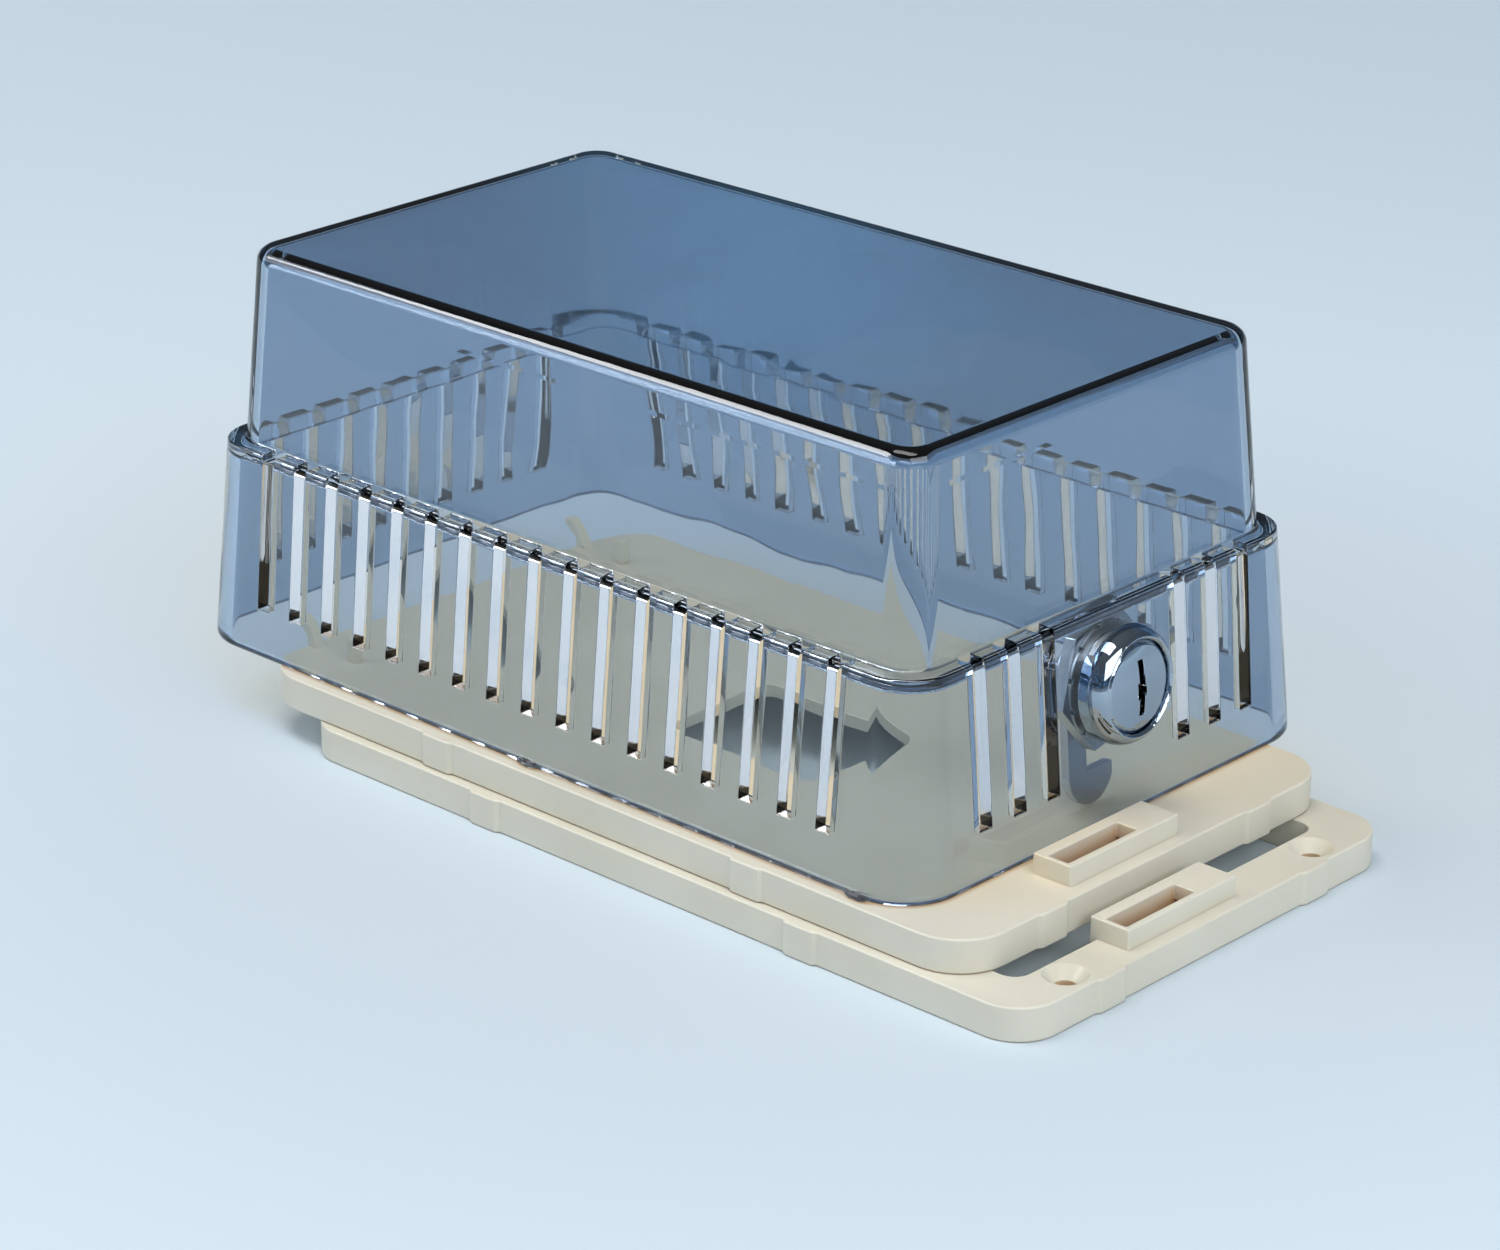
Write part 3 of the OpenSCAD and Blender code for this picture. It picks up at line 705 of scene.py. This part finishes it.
# %% [markdown]
# ## The two plates
# Each plate is a slab with eight small pads on its edge that centre the cover, and a
# keeper block that the cam hooks under. A Bevel modifier slips on faces that have holes
# in them, so the soft edges are drawn in from the start: the slab is a stack of outlines,
# each drawn in a little more towards its top and bottom. A hole is cut by a tool that
# flares where it leaves the surface, which rounds the hole's edge in the same cut.

# %% Plate sizes in millimetres
PLATE_L, PLATE_W, PLATE_T = 191.249, 109.955, 7.0
PAD_L, PAD_OUT, SIDE_PAD_AT, END_PAD_AT = 9.0, 0.7, 42.0, 30.5
PAD_SHOULDER = 1.3
RING_AT, PLATE_AT = (0.0, 0.0, 0.0), (-15.5, 2.0, 7.0)
PLATE_R, RING_R, SOFT = 11.0, 9.0, 0.42
# A rectangle is given by its middle and its half sizes.
KEEPER, KEEPER_H = (88.12, -6.1, 4.5, 15.9), 4.2
SLOT, POCKET, BRIDGE_T = (88.82, -11.0, 2.4, 10.0), (88.82, -6.1, 2.4, 14.9), 3.0
BAR_W, OPENING_R, SCREWS = 10.4, 3.5, (90.1245, 36.7)
print("opening in the ring:", round(PLATE_L - 2 * BAR_W, 1), "by", round(PLATE_W - 2 * BAR_W, 1))


# %% The outline of a plate
def pads_along(level, pad_at, inset):
    """One side with its outside up, from right to left over two pads with soft shoulders."""
    points = []
    for centre in (pad_at, -pad_at):
        for side in (1, -1):
            end = centre + side * (PAD_L / 2 - inset)
            rise = [k / 6 for k in range(7)]
            slope = [
                (end - side * PAD_SHOULDER * k, level - inset + PAD_OUT * k * k * (3 - 2 * k))
                for k in rise
            ]
            points += slope if side == 1 else slope[::-1]
    return points


def plate_outline(corner_r, inset, z, steps=10):
    """The whole outline, drawn in by inset, at height z."""
    points = []
    for turn in range(4):
        run, level = (PLATE_L / 2, PLATE_W / 2) if turn % 2 == 0 else (PLATE_W / 2, PLATE_L / 2)
        side = []
        for i in range(steps + 1):
            a = math.pi / 2 * i / steps
            r = corner_r - inset
            side.append((run - corner_r + r * math.cos(a), level - corner_r + r * math.sin(a)))
        side += pads_along(level, SIDE_PAD_AT if turn % 2 == 0 else END_PAD_AT, inset)
        for u, v in side:
            x, y = ((u, v), (-v, u), (-u, -v), (v, -u))[turn]
            points.append((x, y, z))
    return points


print("points in an outline:", len(plate_outline(PLATE_R, 0, 0)))


# %% Solids and tools from stacks of outlines
def stack(name, levels, at=(0, 0, 0)):
    """A closed solid through outlines that have as many points each."""
    work = bmesh.new()
    rows = [[work.verts.new((Vector(p) + Vector(at)) * MM) for p in level] for level in levels]
    for low_row, high_row in zip(rows, rows[1:]):
        skin(work, low_row, high_row)
    work.faces.new(rows[0])
    work.faces.new(rows[-1])
    bmesh.ops.recalc_face_normals(work, faces=work.faces)
    made = new_object(name)
    work.to_mesh(made.data)
    work.free()
    return made


def soft_heights(z0, z1, edge=SOFT):
    """Inset and height of each level of a slab with rounded top and bottom edges."""
    low = [(edge * (1 - s), z0 + edge * (1 - c)) for s, c in arc(3)]
    return low + [(edge * (1 - c), z1 - edge * (1 - s)) for s, c in arc(3)]


def block(name, where, r, z0, z1, at, edge=0.3):
    """A rectangular block, where is its middle and its half sizes."""
    x, y, half_l, half_w = where
    levels = []
    for inset, z in soft_heights(z0, z1, edge):
        levels.append(ring_points(half_l - inset, half_w - inset, max(r - inset, 0.05), z, 4))
    return stack(name, levels, (at[0] + x, at[1] + y, at[2]))


def hole_tool(name, where, r, z0, z1, at, edge=0.3):
    """A tool for a rectangular hole that flares by edge at z0 and z1."""
    x, y, half_l, half_w = where
    sizes = [(edge, z0 - 0.5)] + [(edge * (1 - s), z0 + edge * (1 - c)) for s, c in arc(3)]
    sizes += [(edge * (1 - c), z1 - edge * (1 - s)) for s, c in arc(3)] + [(edge, z1 + 0.5)]
    levels = [ring_points(half_l + g, half_w + g, r + g, z, 6) for g, z in sizes]
    return stack(name, levels, (at[0] + x, at[1] + y, at[2]))


def carve(piece, tools, operation="DIFFERENCE"):
    """Cuts the tools out of a piece, or joins them to it."""
    for number, tool in enumerate(tools):
        step = piece.modifiers.new("carve_%d" % number, "BOOLEAN")
        step.operation, step.solver, step.object = operation, "EXACT", tool
    bake(piece)
    for tool in tools:
        bpy.data.objects.remove(tool)


def crisp(piece):
    """Smooth shading that still breaks at sharp corners."""
    piece.data.shade_smooth()
    piece.data.set_sharp_from_angle(angle=math.radians(32))
    flat = piece.modifiers.new("flat", "WEIGHTED_NORMAL")
    flat.keep_sharp = True
    bake(piece)


print("solid helpers ready")


# %% Slab, keeper and keeper slot
def slab(name, corner_r, at):
    """A plate without its holes and keeper."""
    levels = [plate_outline(corner_r, inset, z) for inset, z in soft_heights(0, PLATE_T)]
    return stack(name, levels, at)


def keeper_tools(at):
    """Tools for the cam's slot and for the pocket behind the bridge that it hooks under."""
    top = PLATE_T + KEEPER_H
    return [
        hole_tool("keeper_slot", SLOT, 0.3, 0, top, at, 0.25),
        block("keeper_pocket", POCKET, 0.3, -1, top - BRIDGE_T, at, 0.1),
    ]


ring = slab("ring_moulded", RING_R, RING_AT)
opening = (0, 0, PLATE_L / 2 - BAR_W, PLATE_W / 2 - BAR_W)
carve(ring, [hole_tool("ring_opening", opening, OPENING_R, 0, PLATE_T, RING_AT)])
carve(ring, [block("ring_keeper", KEEPER, 0.3, 0, PLATE_T + KEEPER_H, RING_AT)], "UNION")
carve(ring, keeper_tools(RING_AT))
print("ring faces:", len(ring.data.polygons))

# %% [markdown]
# The ring's four screw holes are turned shapes, so their tools are stacks of circles: a
# straight bore, a cone for the screw's head, and a small lip.


# %% Countersunk screw holes
def circle(r, z, steps=40):
    """The points of a level circle."""
    angles = [2 * math.pi * i / steps for i in range(steps)]
    return [(r * math.cos(a), r * math.sin(a), z) for a in angles]


# Radius and height of each circle, from the back up.
BORE = [(2.1, -0.5), (2.1, 4.62), (2.16, 4.72)]
CONE_AND_LIP = [(4.25, 6.82), (4.36, 6.93), (4.55, 7.0), (4.55, 7.5)]
levels = [circle(r, z) for r, z in BORE + CONE_AND_LIP]
holes = []
for x in (-SCREWS[0], SCREWS[0]):
    for y in (-SCREWS[1], SCREWS[1]):
        holes.append(stack("screw_hole", levels, (x, y, 0)))
carve(ring, holes)
crisp(ring)
settle(ring, cream_plastic, "cream_plastic", "ring", "ring_base")

# %% [markdown]
# The wall plate has a window for the wires in its middle. At its far end two claws lean
# out and two posts stand behind them. They are short extrusions, so here the Bevel
# modifier does work well, before they are joined to the slab.


# %% Claws and posts
def prism(name, outline, y, width, at):
    """An outline in X and Z, extruded along Y."""
    levels = [[(x, y + side * width / 2, z) for x, z in outline] for side in (-1, 1)]
    made = stack(name, levels, at)
    edge = made.modifiers.new("edge", "BEVEL")
    edge.width, edge.segments = 0.22 * MM, 2
    bake(made)
    return made


HOOK_AT, HOOK_W, POST_BACK = 4 * SLOT_PITCH, 2.4, 12.3
CLAW = ((0, -1), (3, -1), (3, 0), (1, 4), (-1, 6), (-3, 6), (-3, 4.5), (0, 2))
POST = ((0, -1), (2.2, -1), (2.2, 5.2), (0, 5.2))
claw_at = (PLATE_AT[0] - PLATE_L / 2, PLATE_AT[1], PLATE_AT[2] + PLATE_T)
post_at = (claw_at[0] + POST_BACK, claw_at[1], claw_at[2])
plate = slab("wall_plate_moulded", PLATE_R, PLATE_AT)
extras = [block("plate_keeper", KEEPER, 0.3, PLATE_T - 1, PLATE_T + KEEPER_H, PLATE_AT)]
for side in (-1, 1):
    extras.append(prism("claw", CLAW, side * HOOK_AT, HOOK_W, claw_at))
    extras.append(prism("post", POST, side * HOOK_AT, HOOK_W, post_at))
carve(plate, extras, "UNION")
print("wall plate faces with its hooks and keeper:", len(plate.data.polygons))

# %% [markdown]
# The plate is hollow behind its window, so the window's edge is thin, as on most mouldings.

# %% Wire window and hollow
WINDOW, HOLLOW, WINDOW_R, SKIN = (7, -4.5, 20, 15), (7, -4.5, 40, 32), 3, 2.6
window = hole_tool("wire_window", WINDOW, WINDOW_R, 0, PLATE_T, PLATE_AT)
hollow = block("hollow_under_window", HOLLOW, WINDOW_R, -1, PLATE_T - SKIN, PLATE_AT)
carve(plate, keeper_tools(PLATE_AT) + [window, hollow])
crisp(plate)
settle(plate, cream_plastic, "cream_plastic", "plate", "wall_plate")

# %% [markdown]
# ## The lock's own pieces
# These are copies of the CAD nodes, with finer edges. Before the housing's edges are
# softened, the round part of its barrel is turned down a little, because a thread will
# be laid on it, and a tool turned on the lock's axis cuts the bezel's inner lip.


# %% Housing with a turned-down barrel
def lock_tool(name, profile):
    """A closed solid turned round the lock's axis, from radius and place along the axis."""
    tool = stack(name, [circle(r, along, 64) for r, along in profile])
    tool.data.transform(LOCK @ Matrix.Rotation(math.radians(90), 4, "Y"))
    return tool


THREAD_ROOT, OUTER_FROM, HEAD_BACK = 9.2, 9.25, 0.05
LIP = [(9.05, 5.1), (10.6, 6.65), (10.6, 9)]
housing = copy_of("lock_housing", "lock_head")
to_lock = LOCK.inverted()
for vertex in housing.data.vertices:
    p = (to_lock @ vertex.co) / MM
    reach = math.hypot(p.y, p.z)
    if p.x < HEAD_BACK and reach > OUTER_FROM and abs(p.y) < BARREL_FLATS / 2 + 0.01:
        p.y, p.z = p.y * THREAD_ROOT / reach, p.z * THREAD_ROOT / reach
        vertex.co = LOCK @ (p * MM)
carve(housing, [lock_tool("lip_tool", LIP)])
soften(housing, 0.12)
settle(housing, lock_chrome, "lock_chrome", "guard", "lock_housing")

# %% [markdown]
# The thread is a helix with a three-sided section. Geometry Nodes have a spiral curve and
# a node that sweeps a section along it. Where the barrel has its flats, the tree pushes
# the thread's points in under the flat face, so that the thread stops there as if milled.

# %% A tree that makes a thread
def coiled(tree, steps, turns, radius, height, sides, thickness):
    """A spiral of one radius, swept by a section with this many sides."""
    spiral = {
        "Resolution": steps,
        "Rotations": turns,
        "Start Radius": radius,
        "End Radius": radius,
        "Height": height,
    }
    curve = add(tree, "GeometryNodeCurveSpiral", None, spiral).outputs[0]
    outline = {"Resolution": sides, "Radius": thickness}
    section = add(tree, "GeometryNodeCurvePrimitiveCircle", None, outline).outputs[0]
    inputs = {"Curve": curve, "Profile Curve": section, "Fill Caps": True}
    return add(tree, "GeometryNodeCurveToMesh", None, inputs).outputs[0]


thread_sizes = {"Turns": 6.5, "Radius": 0.0092, "Rise": 0.0065, "Tooth": 0.00032, "Half Flats": 0.00805}
thread_tree, given, out = new_tree("lock_thread", thread_sizes)
swept = coiled(thread_tree, 72, given["Turns"], given["Radius"], given["Rise"], 3, given["Tooth"])
x, y, z = places(thread_tree)
low = maths(thread_tree, "MULTIPLY", given["Half Flats"], -1.0)
held = maths(thread_tree, "MAXIMUM", y, low)
held = maths(thread_tree, "MINIMUM", held, given["Half Flats"])
pressed = add(thread_tree, "ShaderNodeCombineXYZ", None, {0: x, 1: held, 2: z}).outputs[0]
inputs = {"Geometry": swept, "Position": pressed}
flattened = add(thread_tree, "GeometryNodeSetPosition", None, inputs).outputs[0]
close_tree(thread_tree, flattened, lock_chrome, out)
print("thread tree has", len(thread_tree.nodes), "nodes")

# %% Thread on the barrel
THREAD_FROM = -0.6
thread = grow("lock_thread", thread_tree, **thread_sizes)
along_lock = Matrix.Rotation(math.radians(-90), 4, "Y")
thread.data.transform(LOCK @ Matrix.Translation(Vector((THREAD_FROM, 0, 0)) * MM) @ along_lock)
settle(thread, lock_chrome, "lock_chrome", "guard")
corners = [thread.bound_box[0], thread.bound_box[6]]
print("thread box:", [[round(v, 4) for v in corner] for corner in corners])

# %% [markdown]
# The plug's face is crowned a little more than in CAD, and a groove runs round it. The nut
# is turned a little on the barrel, as a nut that was tightened by hand comes to rest.

# %% Plug, nut, washers, cam and screw
FACE_EDGE, FACE_CROWN, NUT_TURN = 0.005, 1.7, math.radians(10)
FACE_CONE = [(14, -60), (14, 4.55), (9.05, 4.55), (8.25, 5.19), (8.25, 9)]
small_parts = (
    ("lock_plug", "plug_face", lock_chrome, "lock_chrome", "plug", 0.10),
    ("lock_nut", "nut_hex", nut_steel, "nut_steel", "guard", 0.25),
    ("nut_washer", "tooth_washer", nut_steel, "nut_steel", "guard", 0.10),
    ("stop_washer", "stop_disc", cam_steel, "cam_steel", "plug", 0.12),
    ("cam", "hook_cam", cam_steel, "cam_steel", "plug", 0.20),
    ("cam_washer", "cam_ring", cam_steel, "cam_steel", "plug", 0.12),
    ("cam_screw", "cam_bolt", cam_steel, "cam_steel", "plug", 0.20),
)
for node, name, material, slot_name, body, width in small_parts:
    part = copy_of(node, name)
    if node == "lock_nut":
        part.data.transform(LOCK @ Matrix.Rotation(NUT_TURN, 4, "X") @ to_lock)
    if node == "lock_plug":
        for vertex in part.data.vertices:
            p = to_lock @ vertex.co
            p.x += max(p.x - FACE_EDGE, 0) * (FACE_CROWN - 1)
            vertex.co = LOCK @ p
        carve(part, [lock_tool("face_tool", FACE_CONE)], "INTERSECT")
    soften(part, width)
    settle(part, material, slot_name, body, node)

# %% [markdown]
# ## Wafer springs
# Under each wafer's ear sits a wire spring hardly thicker than a hair. CAD holds its place
# with a plain pin. The coil is a spiral again, swept once and then placed five times along
# a line at the wafers' pitch.

# %% A tree that makes a row of coils
WAFERS = range(1, 6)
coil_sizes = {
    "Count": len(WAFERS),
    "Pitch": 0.0016,
    "Turns": 7.0,
    "Radius": 0.00035,
    "Length": 0.00228,
    "Wire": 0.00006,
}
coil_tree, given, out = new_tree("coil_row", coil_sizes)
coil = coiled(coil_tree, 16, given["Turns"], given["Radius"], given["Length"], 6, given["Wire"])
back = maths(coil_tree, "MULTIPLY", given["Pitch"], -1.0)
stride = add(coil_tree, "ShaderNodeCombineXYZ", None, {0: back}).outputs[0]
inputs = {"Count": given["Count"], "Offset": stride}
line = add(coil_tree, "GeometryNodeMeshLine", {"mode": "OFFSET"}, inputs).outputs[0]
close_tree(coil_tree, repeated(coil_tree, line, coil), spring_steel, out)
print("coil tree has", len(coil_tree.nodes), "nodes")

# %% Coils under the wafers
FIRST_COIL_AT = (2, 4.3, -3.29)
springs = grow("wafer_coils", coil_tree, **coil_sizes)
springs.data.transform(LOCK @ Matrix.Translation(Vector(FIRST_COIL_AT) * MM))
springs.data.shade_smooth()
settle(springs, spring_steel, "spring_steel", "plug", *["wafer_spring_%d" % n for n in WAFERS])

# %% Brass on the wafers
for number in WAFERS:
    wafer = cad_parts["wafer_%d" % number]
    for place in wafer.material_slots:
        place.material = wafer_brass
print("wafers with brass:", len(WAFERS))

# %% [markdown]
# ## Floor, light and room
# The box lies on a pale table in soft studio light. A clear box shows mostly what is
# behind it, so the table's colour matters as much as the plastic's. Away from the box the
# table also glows a little, but only for the camera, mirrors and glass: the glow lights
# nothing, and the box keeps its shadow. Near the box the glow fades out, which paints a
# darker shade on the table round and under the box.


# %% Floor
def quad(name, size, material):
    """A flat square at height 0."""
    work = bmesh.new()
    bmesh.ops.create_grid(work, x_segments=1, y_segments=1, size=size / 2)
    made = new_object(name)
    work.to_mesh(made.data)
    work.free()
    made.data.materials.append(material)
    return made


TABLE, TABLE_GLOW, TABLE_SIZE = (0.60, 0.695, 0.765, 1), (0.76, 0.91, 1, 1), 14.0
table_top, tree, shader, _ = finish(
    "table_top",
    Base_Color=TABLE,
    Roughness=0.7,
    Emission_Color=TABLE_GLOW,
)
path = add(tree, "ShaderNodeLightPath").outputs
seen = maths(tree, "MAXIMUM", path["Is Camera Ray"], path["Is Glossy Ray"])
seen = maths(tree, "MAXIMUM", seen, path["Is Transmission Ray"])
length = {"operation": "LENGTH"}
away = add(tree, "ShaderNodeVectorMath", length, {0: place_of(tree)}).outputs["Value"]


def glow_between(start, end, strength):
    """A glow that rises from 0 to strength between two distances from the middle, in metres."""
    smooth = {"interpolation_type": "SMOOTHSTEP"}
    share = add(tree, "ShaderNodeMapRange", smooth, {0: away, 1: start, 2: end}).outputs[0]
    return maths(tree, "MULTIPLY", share, strength)


# Painted shade: the first glow is left out within 7 cm of the middle, so the table is darker round and
# under the box.
glow = maths(tree, "ADD", glow_between(0.07, 0.32, 0.14), glow_between(0.35, 2.4, 0.6))
feed(tree, shader.inputs["Emission Strength"], maths(tree, "MULTIPLY", seen, glow))
floor = quad("table", TABLE_SIZE, table_top)
print("floor:", [round(v, 2) for v in floor.dimensions])

# %% [markdown]
# Soft light needs large lamps: the bigger a lamp looks from the object, the softer its
# shadow. A strong panel stands on the lock's side, and weaker ones on the long side and
# overhead. The fourth lights nothing matt: it is there only for glass and chrome to
# mirror, and draws the bright line along the cover's top edge.


# %% Lamps
LIT_POINT = (-0.03, 0.0, 0.04)


def panel(name, azimuth, elevation, distance, width, height, power):
    """A large soft lamp that looks at the object from azimuth and elevation in degrees."""
    data = bpy.data.lights.new(name, "AREA")
    data.shape, data.size, data.size_y, data.energy = "RECTANGLE", width, height, power
    lamp = bpy.data.objects.new(name, data)
    bpy.context.scene.collection.objects.link(lamp)
    a, e = math.radians(azimuth), math.radians(elevation)
    back = Vector((math.sin(a) * math.cos(e), -math.cos(a) * math.cos(e), math.sin(e)))
    lamp.location = Vector(LIT_POINT) + back * distance
    lamp.rotation_euler = (-back).to_track_quat("-Z", "Y").to_euler()
    return lamp


# Azimuth, elevation, distance, width, height and power of each.
panel("lock_side_panel", 74, 34, 1.8, 1.5, 1.1, 18.5)
panel("long_side_panel", -46, 30, 1.7, 1.3, 0.8, 8.3)
panel("edge_panel", -48, 40, 1.6, 0.7, 0.5, 12).visible_diffuse = False
panel("overhead_panel", 0, 80, 1.4, 1.2, 0.5, 10.2)

# %% [markdown]
# Chrome and glass need something to mirror beside the lamps. The room is dark at eye
# level and grey overhead. Faint blue clouds break up the mirror image in the cover's top,
# and a pale haze low over the table keeps thin edges from turning black.

# %% Room
LEVEL_TONE, OVERHEAD_TONE = (0.025, 0.03, 0.04, 1), (0.18, 0.185, 0.195, 1)
CLOUD_TONE, HAZE_TONE = (0.14, 0.28, 0.46, 1), (0.50, 0.57, 0.64, 1)
CLOUD_SCALE, CLEAR_SHARE, CLOUDS_END, HAZE_FADE = 4.5, 0.45, 0.72, 5.0
world = bpy.data.worlds.new("room")
world.use_nodes = True
bpy.context.scene.world = world
tree = world.node_tree
tree.nodes.clear()
direction = add(tree, "ShaderNodeTexCoord").outputs["Generated"]
up = add(tree, "ShaderNodeSeparateXYZ", None, {0: direction}).outputs[2]
rise = maths(tree, "MULTIPLY", up, 1.0, True)
tone = blended(tree, rise, LEVEL_TONE, OVERHEAD_TONE)
squeeze = {0: direction, 1: (1, 1, 3)}
layered = add(tree, "ShaderNodeVectorMath", {"operation": "MULTIPLY"}, squeeze).outputs[0]
cloud = above(tree, noise(tree, layered, CLOUD_SCALE, 2.0), CLEAR_SHARE, 6.0)
not_overhead = above(tree, CLOUDS_END, rise, 3.0)
tone = blended(tree, maths(tree, "MULTIPLY", cloud, not_overhead), tone, CLOUD_TONE)
low = maths(tree, "SUBTRACT", 1.0, maths(tree, "MULTIPLY", rise, HAZE_FADE), True)
tone = blended(tree, maths(tree, "POWER", low, 2.0), tone, HAZE_TONE)
sky = add(tree, "ShaderNodeBackground", None, {"Color": tone, "Strength": 1.0})
tree.links.new(sky.outputs[0], add(tree, "ShaderNodeOutputWorld").inputs[0])
bpy.context.scene.view_settings.view_transform = "Standard"
print("world nodes:", len(tree.nodes))
